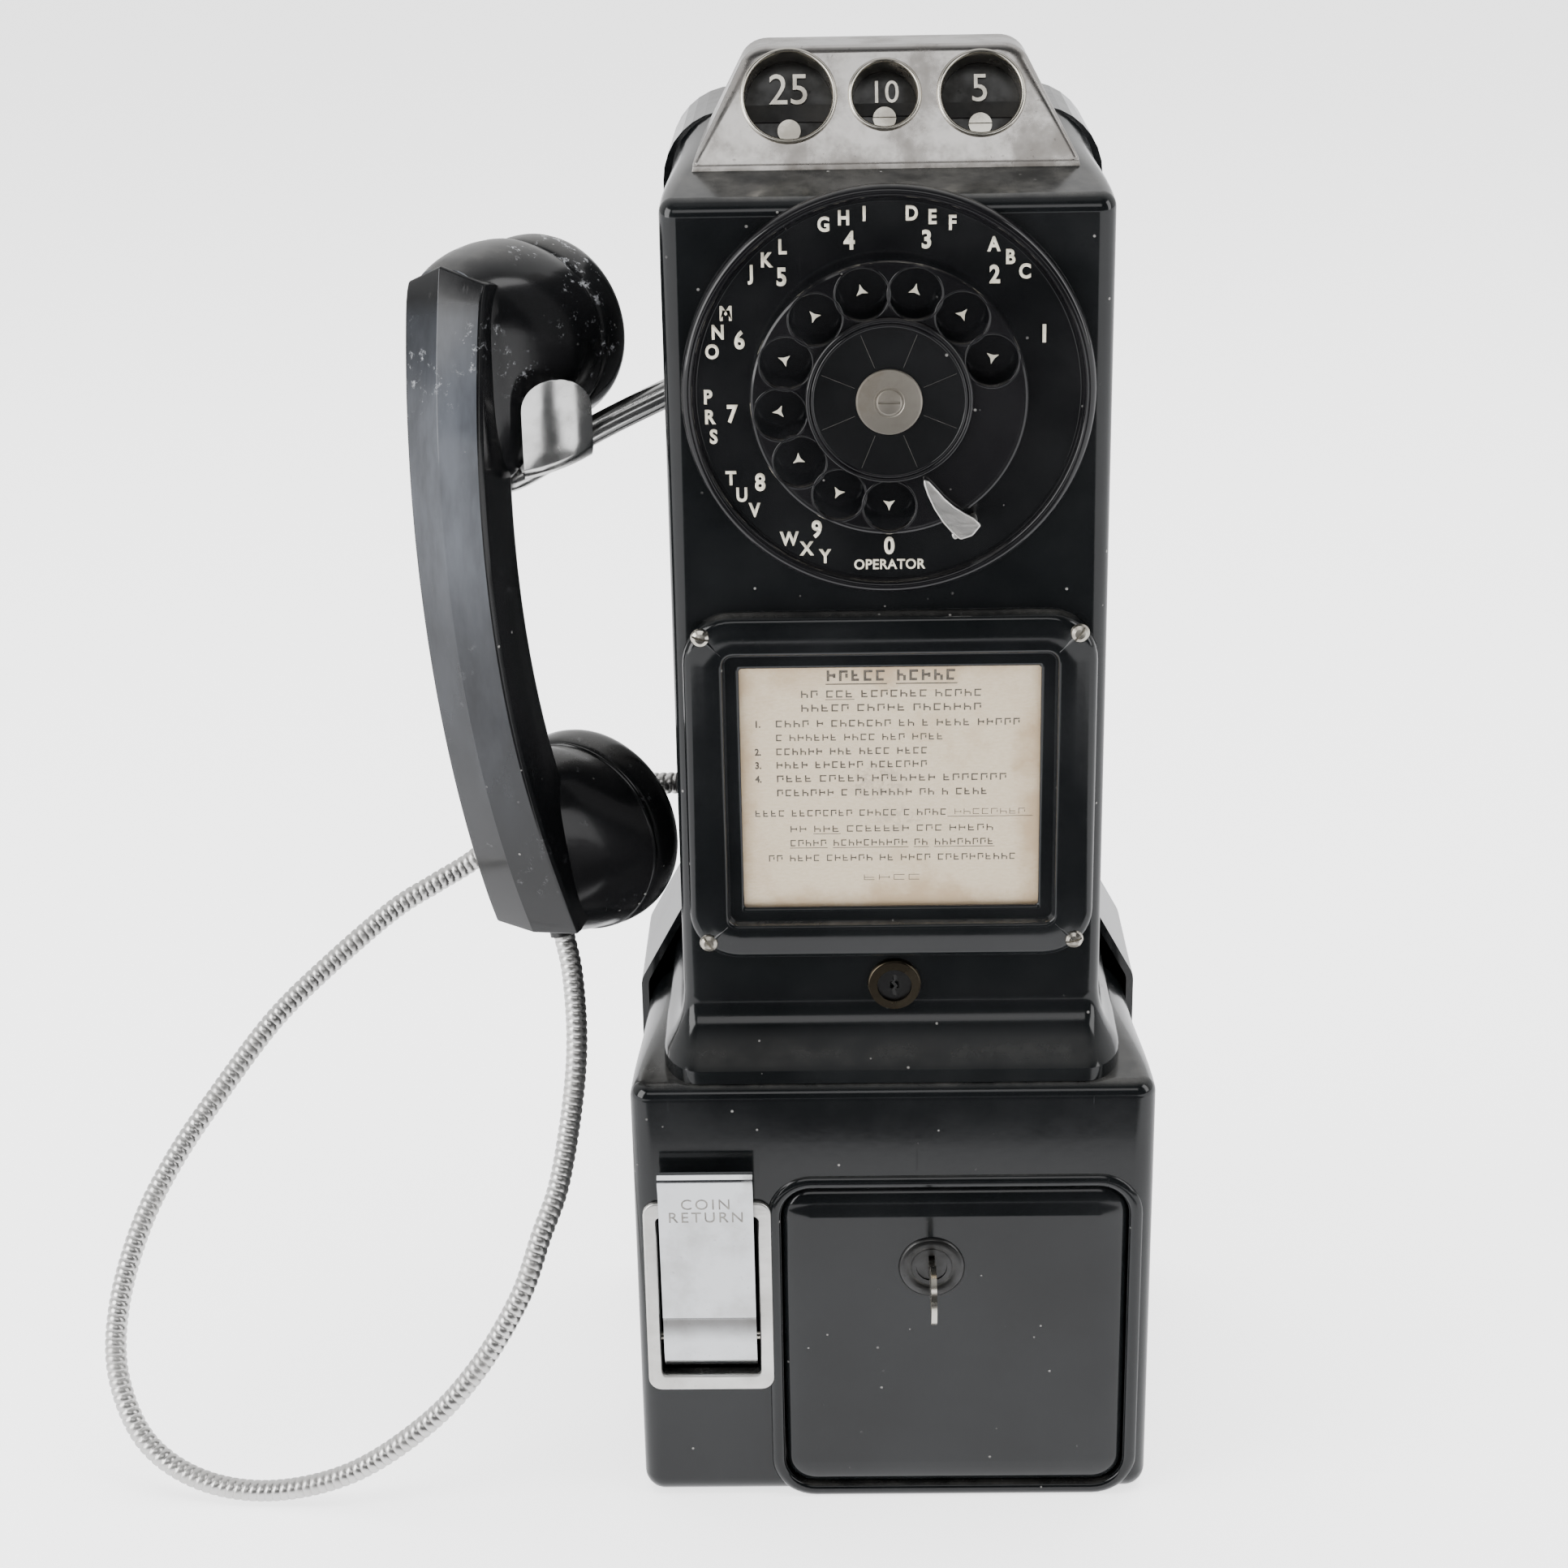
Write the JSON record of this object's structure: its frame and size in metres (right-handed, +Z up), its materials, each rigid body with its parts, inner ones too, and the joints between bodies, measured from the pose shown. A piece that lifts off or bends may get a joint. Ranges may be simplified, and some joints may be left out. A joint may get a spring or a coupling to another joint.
{
  "type": "payphone",
  "caption": "Black wall payphone: vault with coin return and locked door, upper housing with rotary dial and instruction card, coin gauge on top, handset on a side hook with an armoured cord.",
  "frame": {"origin": "middle of the base, on the surface that the vault stands on", "axes": "+Z up, the front faces -Y, +X to the right of a person facing the phone; the back that bolts to the wall faces +Y"},
  "size_m": [0.358, 0.1845, 0.475],
  "materials": {
    "black_enamel": "gloss baked enamel with dust and fine scratches",
    "black_bakelite": "polished, scuffed at the edges",
    "dial_black": "gloss enamel with cream characters",
    "chrome": "polished",
    "brushed_nickel": "brushed, warm grey",
    "satin_nickel": "satin",
    "nickel": "worn plating",
    "dark_steel": "blackened",
    "zinc_steel": "zinc plated",
    "armour_steel": "interlocked strip",
    "brass": "dull",
    "aged_brass": "blackened brass",
    "brown_board": "phenolic board",
    "paper": "aged card with printed lines",
    "clear_plastic": "clear sheet"
  },
  "bodies": {
    "housing": {"back_pan": "black_enamel", "pan_screws": "zinc_steel", "vault_housing": "black_enamel", "upper_housing": "black_enamel", "housing_screws": "zinc_steel", "coin_gauge": "brushed_nickel", "coin_cups": "dark_steel", "gauge_screws": "nickel", "coin_chute": "zinc_steel", "coin_gongs": "brass", "coin_hopper": "zinc_steel", "coin_relay": "brass", "dial_ring": "black_bakelite", "number_plate": "dial_black", "dial_mechanism": "zinc_steel", "finger_stop": "chrome", "card_frame": "black_enamel", "instruction_card": "paper", "card_window": "clear_plastic", "card_screws": "nickel", "upper_lock_case": "aged_brass", "return_bezel": "satin_nickel", "return_chute": "dark_steel", "return_pin": "nickel", "hook_bracket": "zinc_steel", "hook_pin": "nickel", "hookswitch": "brass", "terminal_board": "brown_board", "cord_gland": "dark_steel", "handset_cord": "armour_steel"},
    "dial": {"finger_wheel": "black_bakelite", "dial_shaft": "nickel", "dial_card": "dial_black", "dial_card_window": "clear_plastic", "dial_card_ring": "black_bakelite", "dial_hub": "nickel"},
    "upper_lock": {"upper_lock_plug": "dark_steel", "upper_lock_cam": "zinc_steel"},
    "coin_bucket": {"return_bucket": "chrome"},
    "door": {"vault_door": "black_enamel", "vault_lock_case": "dark_steel"},
    "door_key": {"vault_lock_plug": "dark_steel", "vault_lock_bar": "zinc_steel", "vault_key": "nickel"},
    "coin_box": {"cash_box": "zinc_steel"},
    "hook": {"hook_arm": "chrome", "hook_fork": "chrome"},
    "handset": {"handset_handle": "black_bakelite", "receiver_cap": "black_bakelite", "transmitter_cap": "black_bakelite", "receiver_capsule": "nickel", "transmitter_capsule": "brass", "cord_ferrule": "dark_steel"}
  },
  "joints": [
    {"name": "handset_lift", "type": "slide", "parent": "housing", "child": "handset", "axis": [-0.0663, 0, 0.9978], "range_m": [0, 0.035]},
    {"name": "hook_rise", "type": "hinge", "parent": "housing", "child": "hook", "pos_m": [-0.05, -0.012, 0.376], "axis": [0, 1, 0], "range_deg": [0, 12]},
    {"name": "dial_turn", "type": "hinge", "parent": "housing", "child": "dial", "pos_m": [0, -0.066, 0.378], "axis": [0, 1, 0], "range_deg": [0, 322], "stiffness_Nm_per_rad": 0.004},
    {"name": "upper_lock_turn", "type": "hinge", "parent": "housing", "child": "upper_lock", "pos_m": [0.001, -0.0575, 0.1825], "axis": [0, 1, 0], "range_deg": [0, 90]},
    {"name": "return_tilt", "type": "hinge", "parent": "housing", "child": "coin_bucket", "pos_m": [-0.061, -0.0695, 0.0585], "axis": [1, 0, 0], "range_deg": [0, 35]},
    {"name": "door_pull", "type": "slide", "parent": "housing", "child": "door", "axis": [0, -1, 0], "range_m": [0, 0.15]},
    {"name": "key_turn", "type": "hinge", "parent": "door", "child": "door_key", "pos_m": [0.0124, -0.0775, 0.09], "axis": [0, 1, 0], "range_deg": [0, 90]},
    {"name": "cash_box_pull", "type": "slide", "parent": "housing", "child": "coin_box", "axis": [0, -1, 0], "range_m": [0, 0.09]}
  ],
  "couplings": [
    {"joint": "hook_rise", "follows": "handset_lift", "rad_per_m": 5.98},
    {"joint": "cash_box_pull", "follows": "door_pull", "ratio": 0.6}
  ]
}
